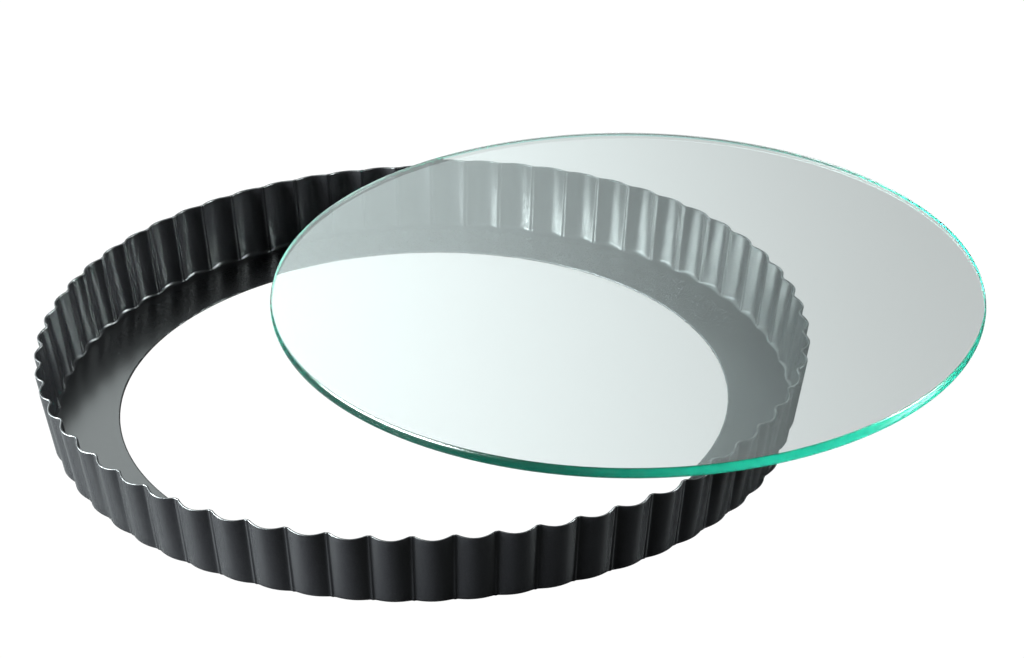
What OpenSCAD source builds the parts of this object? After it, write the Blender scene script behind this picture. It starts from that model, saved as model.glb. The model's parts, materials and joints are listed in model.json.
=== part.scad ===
// Loose-bottomed tart pan: a fluted steel ring and the glass disc that is its base.
// Origin: centre of the ledge opening, in the plane that the pan stands on. +Z is up.
// The disc is shown lifted out and set down on the rim, to one side.

/* [Ring] */
// Outside diameter of the rim, over the lobes
rim_d = 280; // [272:1:300]
// Outside diameter of the wall where it would meet the ground, over the lobes
foot_d = 271; // [270:0.2:279]
// Outside radius of the bend from the ledge up to the wall, on the crown of a lobe
bend_r_lobe = 2.3; // [1:0.1:4]
// The same on a ridge, where the sheet folds more tightly
bend_r_ridge = 1.5; // [1:0.1:4]
// Diameter of the opening inside the ledge
opening_d = 222; // [180:1:232]
// Height of the ring
ring_h = 28; // [20:0.5:40]
// Thickness of the sheet steel
sheet_t = 0.7; // [0.5:0.1:1.2]

/* [Flutes] */
// Number of flutes round the wall
flute_count = 62; // [40:1:80]
// Depth of a flute at the rim
flute_depth_rim = 2.5; // [1:0.1:3.5]
// Depth of a flute at the foot
flute_depth_foot = 1.6; // [0.5:0.1:3]
// Softness of the narrow ridge between two lobes at the rim, as a part of one flute
ridge_round_rim = 0.05; // [0.02:0.01:0.15]
// The same at the foot, where the sheet is drawn less sharply
ridge_round_foot = 0.07; // [0.02:0.01:0.2]
// How far the rim dips between two ridges, where the sheet is drawn outwards
rim_dip = 0.6; // [0:0.1:1.5]

/* [Glass base] */
// Diameter of the glass disc
glass_d = 263.5; // [240:0.5:263.5]
// Thickness of the glass
glass_t = 4; // [3:0.1:6]
// Bulge of the ground and polished edge, at half the glass's thickness
edge_bulge = 0.4; // [0.1:0.1:1.4]
// Distance from the ring's axis to the disc's centre, as it lies on the rim
glass_shift = 80; // [60:1:100]
// Direction in which the disc is shifted, from +X towards +Y
glass_bearing = 17.5; // [0:0.5:359.5]

/* [Hidden] */
// Places across half a flute, from the ridge to the crown of the lobe
HALF_FLUTE = [0, 0.08, 0.26, 0.5];
// The sheet blank reaches this far inside the opening before it is cut
CUT_ALLOWANCE = 2;
// Steps in the quarter turn of the bend at the foot
BEND_STEPS = 2;
ROUND = 180;
// Radius of the arc that bulges out over the thickness of the glass
edge_arc_r = (pow(glass_t / 2, 2) + pow(edge_bulge, 2)) / (2 * edge_bulge);
// Places across a whole flute: the half, then its mirror image without the shared ends
across = concat(HALF_FLUTE, [for (i = [len(HALF_FLUTE) - 2:-1:1]) 1 - HALF_FLUTE[i]]);
per_flute = len(across);
columns = flute_count * per_flute;

// Angle of a column of points round the ring; a ridge lies at angle 0
function turn(c) = (floor(c / per_flute) + across[c % per_flute]) * 360 / flute_count;

// Distance w from the nearest ridge, in flutes, with the ridge itself rounded off by e
function soft(w, e) = sqrt(w * w + e * e) - e;
function from_ridge(c) = min(across[c % per_flute], 1 - across[c % per_flute]);
function ridge_round(z) = ridge_round_foot + (ridge_round_rim - ridge_round_foot) * z / ring_h;
// 0 on a ridge, 1 on the crown of a lobe, with a rounded crown and a narrow ridge
function bulge(c, z) =
    let (e = ridge_round(z))
    1 - pow(1 - soft(from_ridge(c), e) / soft(0.5, e), 2);

// Height of the rim: full on a ridge, lower on the crown of a lobe
function rim_z(c) = ring_h - rim_dip * bulge(c, ring_h);

// Outside radius of the wall at height z; wall and flutes both open out in a straight line
function lobe_r(z) = (foot_d + (rim_d - foot_d) * z / (ring_h - rim_dip)) / 2;
function flute_depth(z) = flute_depth_foot + (flute_depth_rim - flute_depth_foot) * z / ring_h;
function wall_r(c, z) = lobe_r(z) - flute_depth(z) * (1 - bulge(c, z));

// Outside radius of the bend, from its value on a ridge to its value on the crown
function bend_r(c) = bend_r_ridge + (bend_r_lobe - bend_r_ridge) * bulge(c, 0);

// Points of a bend of radius r from the ledge at height floor_z up to the wall, inset from it
function bend(c, r, floor_z, inset) = [
    for (s = [0:BEND_STEPS])
        let (a = 90 * s / BEND_STEPS, z = floor_z + r * (1 - cos(a)))
        [wall_r(c, z) - inset - r * (1 - sin(a)), z]
];

// One closed section of the sheet: ledge top, inner bend, rim, outer bend, underside
function section(c) = concat(
    [[opening_d / 2 - CUT_ALLOWANCE, sheet_t]],
    bend(c, bend_r(c) - sheet_t, sheet_t, sheet_t),
    [[wall_r(c, rim_z(c)) - sheet_t, rim_z(c)], [wall_r(c, rim_z(c)), rim_z(c)]],
    reverse(bend(c, bend_r(c), 0, 0)),
    [[opening_d / 2 - CUT_ALLOWANCE, 0]]
);
function reverse(list) = [for (i = [len(list) - 1:-1:0]) list[i]];

// A closed ring of sections, two triangles between each four neighbouring points
module swept_sheet() {
    rows = len(section(0));
    points = [
        for (c = [0:columns - 1])
            for (p = section(c))
                [p[0] * cos(turn(c)), p[0] * sin(turn(c)), p[1]]
    ];
    faces = [
        for (c = [0:columns - 1], k = [0:rows - 1])
            let (
                a = c * rows,
                b = ((c + 1) % columns) * rows,
                n = (k + 1) % rows
            )
            each [[a + k, a + n, b + n], [a + k, b + n, b + k]]
    ];
    polyhedron(points = points, faces = faces, convexity = 10);
}

// Pressed ring: fluted wall, plain cut rim and flat ledge, with the opening cut true
module fluted_ring() {
    color("#2b2b2d")
        difference() {
            swept_sheet();
            translate([0, 0, -ring_h])
                cylinder(h = 2 * ring_h, d = opening_d, $fn = ROUND);
        }
}

// Half outline of the disc: flat faces, and an edge that bulges in one arc
module glass_outline() {
    square([glass_d / 2 - edge_arc_r, glass_t]);
    intersection() {
        square([glass_d / 2, glass_t]);
        translate([glass_d / 2 - edge_arc_r, glass_t / 2])
            circle(r = edge_arc_r, $fn = ROUND);
    }
}

// Glass disc, lying flat on the rim to one side of the opening
module glass_base() {
    color("#a8d5c8", 0.45)
        translate([glass_shift * cos(glass_bearing), glass_shift * sin(glass_bearing), ring_h])
            rotate_extrude($fn = ROUND)
                glass_outline();
}

fluted_ring();
glass_base();
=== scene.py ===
import json
import math
import random

import bmesh
import bpy
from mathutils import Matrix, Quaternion, Vector


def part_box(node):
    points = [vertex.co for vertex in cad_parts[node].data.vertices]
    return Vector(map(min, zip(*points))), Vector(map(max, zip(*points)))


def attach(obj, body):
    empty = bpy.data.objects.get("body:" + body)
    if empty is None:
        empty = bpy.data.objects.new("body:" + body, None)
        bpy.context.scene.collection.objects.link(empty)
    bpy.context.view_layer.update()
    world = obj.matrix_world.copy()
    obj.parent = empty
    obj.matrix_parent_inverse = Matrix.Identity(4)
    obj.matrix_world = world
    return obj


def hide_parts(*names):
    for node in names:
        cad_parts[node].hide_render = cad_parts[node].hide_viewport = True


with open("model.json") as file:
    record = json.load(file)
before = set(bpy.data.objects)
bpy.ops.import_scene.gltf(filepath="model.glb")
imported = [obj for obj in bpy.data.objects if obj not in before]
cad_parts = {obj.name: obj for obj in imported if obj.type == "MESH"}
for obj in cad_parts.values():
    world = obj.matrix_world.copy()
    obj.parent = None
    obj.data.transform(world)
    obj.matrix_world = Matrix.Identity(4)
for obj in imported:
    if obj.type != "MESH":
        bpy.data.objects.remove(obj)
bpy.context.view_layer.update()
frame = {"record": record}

MM = 0.001
TURN = 2 * math.pi

# ---------------------------------------------------------------- sizes, from the frame

ring_low, ring_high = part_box("fluted_ring")
glass_low, glass_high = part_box("glass_base")
mounts = {m["name"]: m for m in frame["record"]["mounts"]}

RIM_R = ring_high.y
RING_H = ring_high.z
OPENING_R = mounts["ledge_opening"]["dims"]["r_mm"] * MM
GLASS_T = glass_high.z - glass_low.z
GLASS_R = (glass_high.x - glass_low.x) / 2
GLASS_CENTRE = (glass_low + glass_high) / 2

# The other sizes, the same as in the CAD part; ridge rounding is a part of one flute
FOOT_R = 135.5 * MM
BEND_R_LOBE = 2.3 * MM
BEND_R_RIDGE = 1.5 * MM
SHEET_T = 0.7 * MM
FLUTES = 62
DEPTH_RIM = 2.5 * MM
DEPTH_FOOT = 1.6 * MM
RIDGE_ROUND_RIM = 0.05
RIDGE_ROUND_FOOT = 0.07
RIM_DIP = 0.6 * MM
EDGE_BULGE = 0.4 * MM

# ---------------------------------------------------------------- mesh detail

# Columns of points across a flute, and how strongly they crowd towards its ridges, 0 to 1
PER_FLUTE = 24
RIDGE_CROWDING = 0.75
# Height of the pinched bead in each groove, and the distance from its crest, as a part of one
# flute, at which it has dropped to 1/e
PINCH = 0.32 * MM
PINCH_WIDTH = 0.035
# Most that a flute falls short of its full depth, and the seed of that draw
MOST_SLACK = 0.10 * MM
SLACK_SEED = 62
BEND_STEPS = 9
WALL_STEPS = 6
LEDGE_STEPS = 4
# Bevel on the sheet's cut edges, and how far the support points lie below the rim's bevel and
# out from the opening, in bevels
CUT_BEVEL = 0.14 * MM
RIM_SUPPORT = 2
LEDGE_SUPPORT = 4
# Width of the arris round each face of the glass, and its drop as a part of that width
ARRIS = 0.3 * MM
ARRIS_DROP = 0.7
GLASS_SIDES = 480
EDGE_STEPS = 8

# ---------------------------------------------------------------- looks

# Scales of the noises, in cycles per metre
PEEL_SCALE = 420
SPECK_SCALE = 2400
GRIND_SCALE = 900
FLOOR_SCALE = 60
# Stretches of noise over which the speckle, and the film on cut steel, go from none to full
SPECK_RANGE = (0.35, 0.7)
FILM_RANGE = (0.38, 0.62)
# Places of the colour sockets on the Mix node, which has others of the same names
MIX_FIRST, MIX_SECOND, MIX_RESULT = 6, 7, 2

# ---------------------------------------------------------------- camera, floor and light

CAMERA_AT = Vector((-0.0112, -0.9721, 0.5620))
CAMERA_AIM = Vector((0.0336, 0.0248, 0.0140))
CAMERA_ROLL = math.radians(-0.705)
CAMERA_LENS = 107.5
CLIP_START = 0.01
CLIP_END = 50.0
# Enough for light to run the width of the disc inside the glass
LIGHT_BOUNCES = 64
# Distance from the middle of the floor to each side
FLOOR_REACH = 6.0
# How much the floor glows for a kind of ray: the share of glow, and its strength; all other rays
# see a near-black sheet, which is painted shade
FLOOR_GLOW = (
    ("Is Transmission Ray", 0.96, 0.70),
    ("Is Camera Ray", 0.97, 1.06),
)
# Soft lights in the sky: azimuth clockwise from +Y, elevation, the angles from the middle
# within which it is full and beyond which it is dark, all in degrees, and its strength
SOFT_LIGHTS = (
    (-38, 32, 9, 45, 5.6),  # large and weak, behind and to the left
    (-98, 10, 8, 30, 155.0),  # low, at the left
    (86, 23, 5, 15, 90.0),  # small, at the right
)
ROOM_STRENGTH = 0.03
LIGHT_COLOUR = (0.91, 1.0, 1.0, 1)


def node_tree(owner):
    """The node tree of a material or world, cleared."""
    owner.use_nodes = True
    tree = owner.node_tree
    tree.nodes.clear()
    return tree


def add(tree, kind, **inputs):
    """Adds a node; inputs are values or output sockets, by input name with _ for a space."""
    node = tree.nodes.new(kind)
    for name, value in inputs.items():
        socket = node.inputs[name.replace("_", " ")]
        if isinstance(value, bpy.types.NodeSocket):
            tree.links.new(value, socket)
        else:
            socket.default_value = value
    return node


def noise(tree, scale, detail=3.0, stretch=(1, 1, 1)):
    """Noise in object space, in cycles per metre, so that it stays fixed to the piece."""
    place = tree.nodes.new("ShaderNodeTexCoord")
    mapping = add(tree, "ShaderNodeMapping", Vector=place.outputs["Object"], Scale=stretch)
    node = add(
        tree, "ShaderNodeTexNoise",
        Vector=mapping.outputs["Vector"], Scale=scale, Detail=detail, Roughness=0.55,
    )
    return node.outputs["Fac"]


def spread(tree, value, low, high, out_low=0.0, out_high=1.0):
    """Maps a value from low..high to out_low..out_high, smoothly."""
    node = add(tree, "ShaderNodeMapRange", Value=value)
    node.interpolation_type = "SMOOTHSTEP"
    for name, number in (
        ("From Min", low), ("From Max", high), ("To Min", out_low), ("To Max", out_high),
    ):
        node.inputs[name].default_value = number
    return node.outputs["Result"]


def mix_colour(tree, factor, first, second):
    """The first colour where factor is 0, the second where it is 1."""
    node = tree.nodes.new("ShaderNodeMix")
    node.data_type = "RGBA"
    tree.links.new(factor, node.inputs["Factor"])
    node.inputs[MIX_FIRST].default_value = first
    node.inputs[MIX_SECOND].default_value = second
    return node.outputs[MIX_RESULT]


def bump(tree, height, strength, distance):
    node = add(tree, "ShaderNodeBump", Height=height, Strength=strength, Distance=distance)
    return node.outputs["Normal"]


def add_output(tree, kind, shader):
    """Links a shader to a new output node of a kind, and returns that node."""
    out = tree.nodes.new(kind)
    tree.links.new(shader, out.inputs["Surface"])
    return out


def coating():
    """Charcoal non-stick coat: satin, with a very fine speckle and a slight orange peel."""
    mat = bpy.data.materials.new("nonstick_coat")
    tree = node_tree(mat)
    peel = noise(tree, PEEL_SCALE, 2.0)
    speck = noise(tree, SPECK_SCALE, 1.0)
    tone = mix_colour(
        tree, spread(tree, speck, *SPECK_RANGE),
        (0.0031, 0.0030, 0.0037, 1), (0.0058, 0.0057, 0.0064, 1),
    )
    surface = add(
        tree, "ShaderNodeBsdfPrincipled",
        Base_Color=tone,
        Roughness=spread(tree, speck, *SPECK_RANGE, 0.46, 0.54),
        IOR=1.5,
        Specular_IOR_Level=0.06,
        Coat_Weight=1.0,
        Coat_Roughness=0.21,
        Coat_IOR=1.34,
        Normal=bump(tree, peel, 0.05, 0.2 * MM),
    )
    add_output(tree, "ShaderNodeOutputMaterial", surface.outputs["BSDF"])
    return mat


def cut_steel():
    """The sheared edge of the sheet: bare steel, dulled in places by a film of the coat."""
    mat = bpy.data.materials.new("cut_steel_edge")
    tree = node_tree(mat)
    film = spread(tree, noise(tree, PEEL_SCALE, 2.0), *FILM_RANGE)
    tone = mix_colour(tree, film, (0.04, 0.04, 0.041, 1), (0.10, 0.10, 0.102, 1))
    surface = add(
        tree, "ShaderNodeBsdfPrincipled",
        Base_Color=tone,
        Roughness=spread(tree, film, 0.0, 1.0, 0.46, 0.34),
        Metallic=1.0,
        IOR=1.5,
    )
    add_output(tree, "ShaderNodeOutputMaterial", surface.outputs["BSDF"])
    return mat


def clear_glass():
    """Soda-lime glass: polished faces, a finely ground edge, and green over a long path."""
    mat = bpy.data.materials.new("tempered_glass")
    tree = node_tree(mat)
    edge = tree.nodes.new("ShaderNodeAttribute")
    edge.attribute_name = "ground_edge"
    grind = noise(tree, GRIND_SCALE, 2.0, stretch=(1, 1, 0.25))
    surface = add(
        tree, "ShaderNodeBsdfPrincipled",
        Base_Color=(1.0, 1.0, 1.0, 1),
        Roughness=spread(tree, edge.outputs["Fac"], 0.0, 1.0, 0.0, 0.18),
        IOR=1.52,
        Transmission_Weight=1.0,
        Normal=bump(tree, grind, 0.02, 0.1 * MM),
    )
    body = add(
        tree, "ShaderNodeVolumeAbsorption",
        Color=(0.11, 0.785, 0.705, 1), Density=20.0,
    )
    out = add_output(tree, "ShaderNodeOutputMaterial", surface.outputs["BSDF"])
    tree.links.new(body.outputs["Volume"], out.inputs["Volume"])
    return mat


# ---------------------------------------------------------------- fluted ring

def soft(w, e):
    """Distance from a ridge, in flutes, with the ridge itself rounded off by e."""
    return math.sqrt(w * w + e * e) - e


def bulge(u, z):
    """0 on a ridge and 1 on the crown of a lobe, at u flutes past a ridge."""
    e = RIDGE_ROUND_FOOT + (RIDGE_ROUND_RIM - RIDGE_ROUND_FOOT) * z / RING_H
    w = min(u, 1 - u)
    return 1 - (1 - soft(w, e) / soft(0.5, e)) ** 2


def wall_r(u, z, slack):
    """Outside radius of the wall, with a fine pinched bead along the bottom of each groove.

    slack is how far this flute was pressed short of its depth.
    """
    lobe = FOOT_R + (RIM_R - FOOT_R) * z / (RING_H - RIM_DIP)
    depth = DEPTH_FOOT + (DEPTH_RIM - DEPTH_FOOT) * z / RING_H
    full = bulge(u, z)
    pinch = PINCH * math.exp(-(min(u, 1 - u) / PINCH_WIDTH) ** 2)
    return lobe - depth * (1 - full) - slack * full + pinch


def bend(u, slack, radius, floor_z, inset):
    """The bend from the ledge up to the wall, as (r, z) points."""
    points = []
    for step in range(BEND_STEPS + 1):
        a = math.pi / 2 * step / BEND_STEPS
        z = floor_z + radius * (1 - math.cos(a))
        points.append((wall_r(u, z, slack) - inset - radius * (1 - math.sin(a)), z))
    return points


def straight(start, end, steps):
    """Points between two (r, z) points, without the ends."""
    return [
        tuple(s + (e - s) * k / steps for s, e in zip(start, end)) for k in range(1, steps)
    ]


def wall(u, slack, low, high, inset):
    """Points up one face of the wall, the last two close together to keep the rim crisp."""
    heights = [low + (high - low) * k / WALL_STEPS for k in range(1, WALL_STEPS)]
    heights += [high - RIM_SUPPORT * CUT_BEVEL, high]
    return [(wall_r(u, z, slack) - inset, z) for z in heights]


def ring_section(u, slack):
    """Closed section of the sheet, and which of its stretches are sheared edge."""
    b = CUT_BEVEL
    bend_r = BEND_R_RIDGE + (BEND_R_LOBE - BEND_R_RIDGE) * bulge(u, 0)
    inner = bend(u, slack, bend_r - SHEET_T, SHEET_T, SHEET_T)
    outer = bend(u, slack, bend_r, 0, 0)
    rim_z = RING_H - RIM_DIP * bulge(u, RING_H)
    rim_out = wall_r(u, rim_z, slack)
    lean = (RIM_R - FOOT_R) / RING_H
    top_out = (rim_out - b, rim_z)
    top_in = (rim_out - SHEET_T + b, rim_z - (SHEET_T - 2 * b) * lean)
    support_top = (OPENING_R + LEDGE_SUPPORT * b, SHEET_T)
    support_low = (OPENING_R + LEDGE_SUPPORT * b, 0)
    points = [(OPENING_R + b, SHEET_T), support_top]
    points += straight(support_top, inner[0], LEDGE_STEPS)
    points += inner + wall(u, slack, inner[-1][1], top_in[1] - b, SHEET_T)
    rim_start = len(points) - 1
    points += [top_in, top_out]
    rim_end = len(points)
    points += wall(u, slack, outer[-1][1], rim_z - b, 0)[::-1] + outer[::-1]
    points += straight(outer[0], support_low, LEDGE_STEPS)
    points += [support_low, (OPENING_R + b, 0)]
    points += [(OPENING_R, b), (OPENING_R, SHEET_T - b)]
    hole_start = len(points) - 3
    cut = set(range(rim_start, rim_end)) | set(range(hole_start, len(points)))
    return points, cut


def flute_slack():
    """How far each flute falls short of full depth: thin sheet is never pressed quite evenly."""
    draw = random.Random(SLACK_SEED)
    return [draw.uniform(0.0, MOST_SLACK) for _ in range(FLUTES)]


def across(t):
    """Place across a flute of a column at part t of the way, crowded towards the two ridges."""
    return t - RIDGE_CROWDING * math.sin(TURN * t) / TURN


def build_ring(materials):
    """The section swept round the flutes; materials are the coat and the sheared edge."""
    bm = bmesh.new()
    slack = flute_slack()
    columns = []
    for column in range(FLUTES * PER_FLUTE):
        flute, place = divmod(column, PER_FLUTE)
        u = across(place / PER_FLUTE)
        angle = TURN * (flute + u) / FLUTES
        section, cut = ring_section(u, slack[flute])
        columns.append([
            bm.verts.new((r * math.cos(angle), r * math.sin(angle), z)) for r, z in section
        ])
    rows = len(columns[0])
    for c, here in enumerate(columns):
        there = columns[(c + 1) % len(columns)]
        for k in range(rows):
            n = (k + 1) % rows
            face = bm.faces.new((here[k], there[k], there[n], here[n]))
            face.smooth = True
            face.material_index = 1 if k in cut else 0
    return finish_mesh(bm, "fluted_ring_shell", materials)


# ---------------------------------------------------------------- glass base

def glass_section():
    """Half outline from the top face's edge to the bottom face's: arris, bulged edge, arris."""
    half = GLASS_T / 2 - ARRIS * ARRIS_DROP
    shoulder = GLASS_R - EDGE_BULGE
    arc_r = (half ** 2 + EDGE_BULGE ** 2) / (2 * EDGE_BULGE)
    arc = []
    for step in range(EDGE_STEPS + 1):
        z = half - 2 * half * step / EDGE_STEPS
        arc.append((GLASS_R - arc_r + math.sqrt(arc_r ** 2 - z ** 2), z))
    top = [(shoulder - ARRIS, GLASS_T / 2)]
    low = [(shoulder - ARRIS, -GLASS_T / 2)]
    return top + arc + low


def build_glass(materials):
    """The section turned round the disc's axis, with its edge marked as ground."""
    bm = bmesh.new()
    ground = bm.verts.layers.float.new("ground_edge")
    section = glass_section()
    loops = []
    for r, z in section:
        loop = []
        for side in range(GLASS_SIDES):
            a = TURN * side / GLASS_SIDES
            at = GLASS_CENTRE + Vector((r * math.cos(a), r * math.sin(a), z))
            loop.append(bm.verts.new(at))
        loops.append(loop)
    for loop in loops[1:-1]:
        for vert in loop:
            vert[ground] = 1.0
    for upper, lower in zip(loops, loops[1:]):
        for side in range(GLASS_SIDES):
            n = (side + 1) % GLASS_SIDES
            face = bm.faces.new((upper[side], lower[side], lower[n], upper[n]))
            face.smooth = True
    bm.faces.new(loops[0])
    bm.faces.new(loops[-1][::-1])
    return finish_mesh(bm, "glass_base_disc", materials)


def finish_mesh(bm, name, materials):
    """Turns a bmesh into an object with outward faces and its materials."""
    bmesh.ops.recalc_face_normals(bm, faces=bm.faces)
    mesh = bpy.data.meshes.new(name)
    bm.to_mesh(mesh)
    bm.free()
    for mat in materials:
        mesh.materials.append(mat)
    obj = bpy.data.objects.new(name, mesh)
    bpy.context.scene.collection.objects.link(obj)
    return obj


# ---------------------------------------------------------------- stage

def floor_material():
    """Pale sheet: white seen directly, light grey seen through glass, dark in reflections: a
    near-black sheet there, painted shade as if the floor round the pan lay in its shadow.
    """
    mat = bpy.data.materials.new("glowing_floor_with_painted_shade")
    tree = node_tree(mat)
    ray = tree.nodes.new("ShaderNodeLightPath")
    grain = noise(tree, FLOOR_SCALE)
    # Near-black tone seen in reflections and by bounced light: painted shade, standing in for
    # the floor in the pan's shadow
    tone = mix_colour(tree, grain, (0.018, 0.018, 0.018, 1), (0.022, 0.022, 0.022, 1))
    sheet = add(
        tree, "ShaderNodeBsdfPrincipled",
        Base_Color=tone, Roughness=0.25, IOR=1.5,
    )
    shader = sheet.outputs["BSDF"]
    for kind, share, strength in FLOOR_GLOW:
        part = add(tree, "ShaderNodeMath")
        part.operation = "MULTIPLY"
        tree.links.new(ray.outputs[kind], part.inputs[0])
        part.inputs[1].default_value = share
        glow = add(tree, "ShaderNodeEmission", Color=(1, 1, 1, 1), Strength=strength)
        mixed = tree.nodes.new("ShaderNodeMixShader")
        tree.links.new(part.outputs[0], mixed.inputs[0])
        tree.links.new(shader, mixed.inputs[1])
        tree.links.new(glow.outputs["Emission"], mixed.inputs[2])
        shader = mixed.outputs["Shader"]
    add_output(tree, "ShaderNodeOutputMaterial", shader)
    return mat


def build_floor():
    bm = bmesh.new()
    bmesh.ops.create_grid(bm, x_segments=1, y_segments=1, size=FLOOR_REACH)
    for vert in bm.verts:
        vert.co.z = ring_low.z
    floor = finish_mesh(bm, "floor", [floor_material()])


def soft_patch(tree, way, azimuth, elevation, inner, outer, strength):
    """Brightness of one soft light in the sky: full within inner degrees, none past outer."""
    a, e = math.radians(azimuth), math.radians(elevation)
    towards = (math.sin(a) * math.cos(e), math.cos(a) * math.cos(e), math.sin(e))
    dot = tree.nodes.new("ShaderNodeVectorMath")
    dot.operation = "DOT_PRODUCT"
    tree.links.new(way, dot.inputs[0])
    dot.inputs[1].default_value = towards
    low, high = math.cos(math.radians(outer)), math.cos(math.radians(inner))
    return spread(tree, dot.outputs["Value"], low, high, 0.0, strength)


def studio_light():
    """A dim room with the lights of SOFT_LIGHTS in it."""
    world = bpy.data.worlds.new("studio")
    bpy.context.scene.world = world
    tree = node_tree(world)
    place = tree.nodes.new("ShaderNodeTexCoord")
    way = place.outputs["Generated"]
    total, *others = [soft_patch(tree, way, *light) for light in SOFT_LIGHTS]
    for patch in others:
        plus = tree.nodes.new("ShaderNodeMath")
        tree.links.new(total, plus.inputs[0])
        tree.links.new(patch, plus.inputs[1])
        total = plus.outputs[0]
    room = tree.nodes.new("ShaderNodeMath")
    tree.links.new(total, room.inputs[0])
    room.inputs[1].default_value = ROOM_STRENGTH
    sky = add(
        tree, "ShaderNodeBackground",
        Color=LIGHT_COLOUR, Strength=room.outputs[0],
    )
    add_output(tree, "ShaderNodeOutputWorld", sky.outputs["Background"])


def build_camera():
    """A long lens in front of the pan and above it, rolled a little."""
    data = bpy.data.cameras.new("camera")
    data.lens = CAMERA_LENS
    data.clip_start = CLIP_START
    data.clip_end = CLIP_END
    camera = bpy.data.objects.new("camera", data)
    bpy.context.scene.collection.objects.link(camera)
    camera.location = CAMERA_AT
    camera.rotation_mode = "QUATERNION"
    level = (CAMERA_AIM - CAMERA_AT).to_track_quat("-Z", "Y")
    camera.rotation_quaternion = level @ Quaternion((0, 0, 1), CAMERA_ROLL)
    bpy.context.scene.camera = camera


def picture_settings():
    """Plain colours, and many bounces for the glass."""
    scene = bpy.context.scene
    scene.view_settings.view_transform = "Standard"
    scene.view_settings.look = "None"
    scene.cycles.max_bounces = LIGHT_BOUNCES
    scene.cycles.transmission_bounces = LIGHT_BOUNCES
    scene.cycles.glossy_bounces = LIGHT_BOUNCES


# ---------------------------------------------------------------- assembly

build_camera()
studio_light()
build_floor()
picture_settings()

ring = build_ring([coating(), cut_steel()])
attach(ring, "ring")
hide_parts("fluted_ring")

glass = build_glass([clear_glass()])
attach(glass, "base")
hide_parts("glass_base")
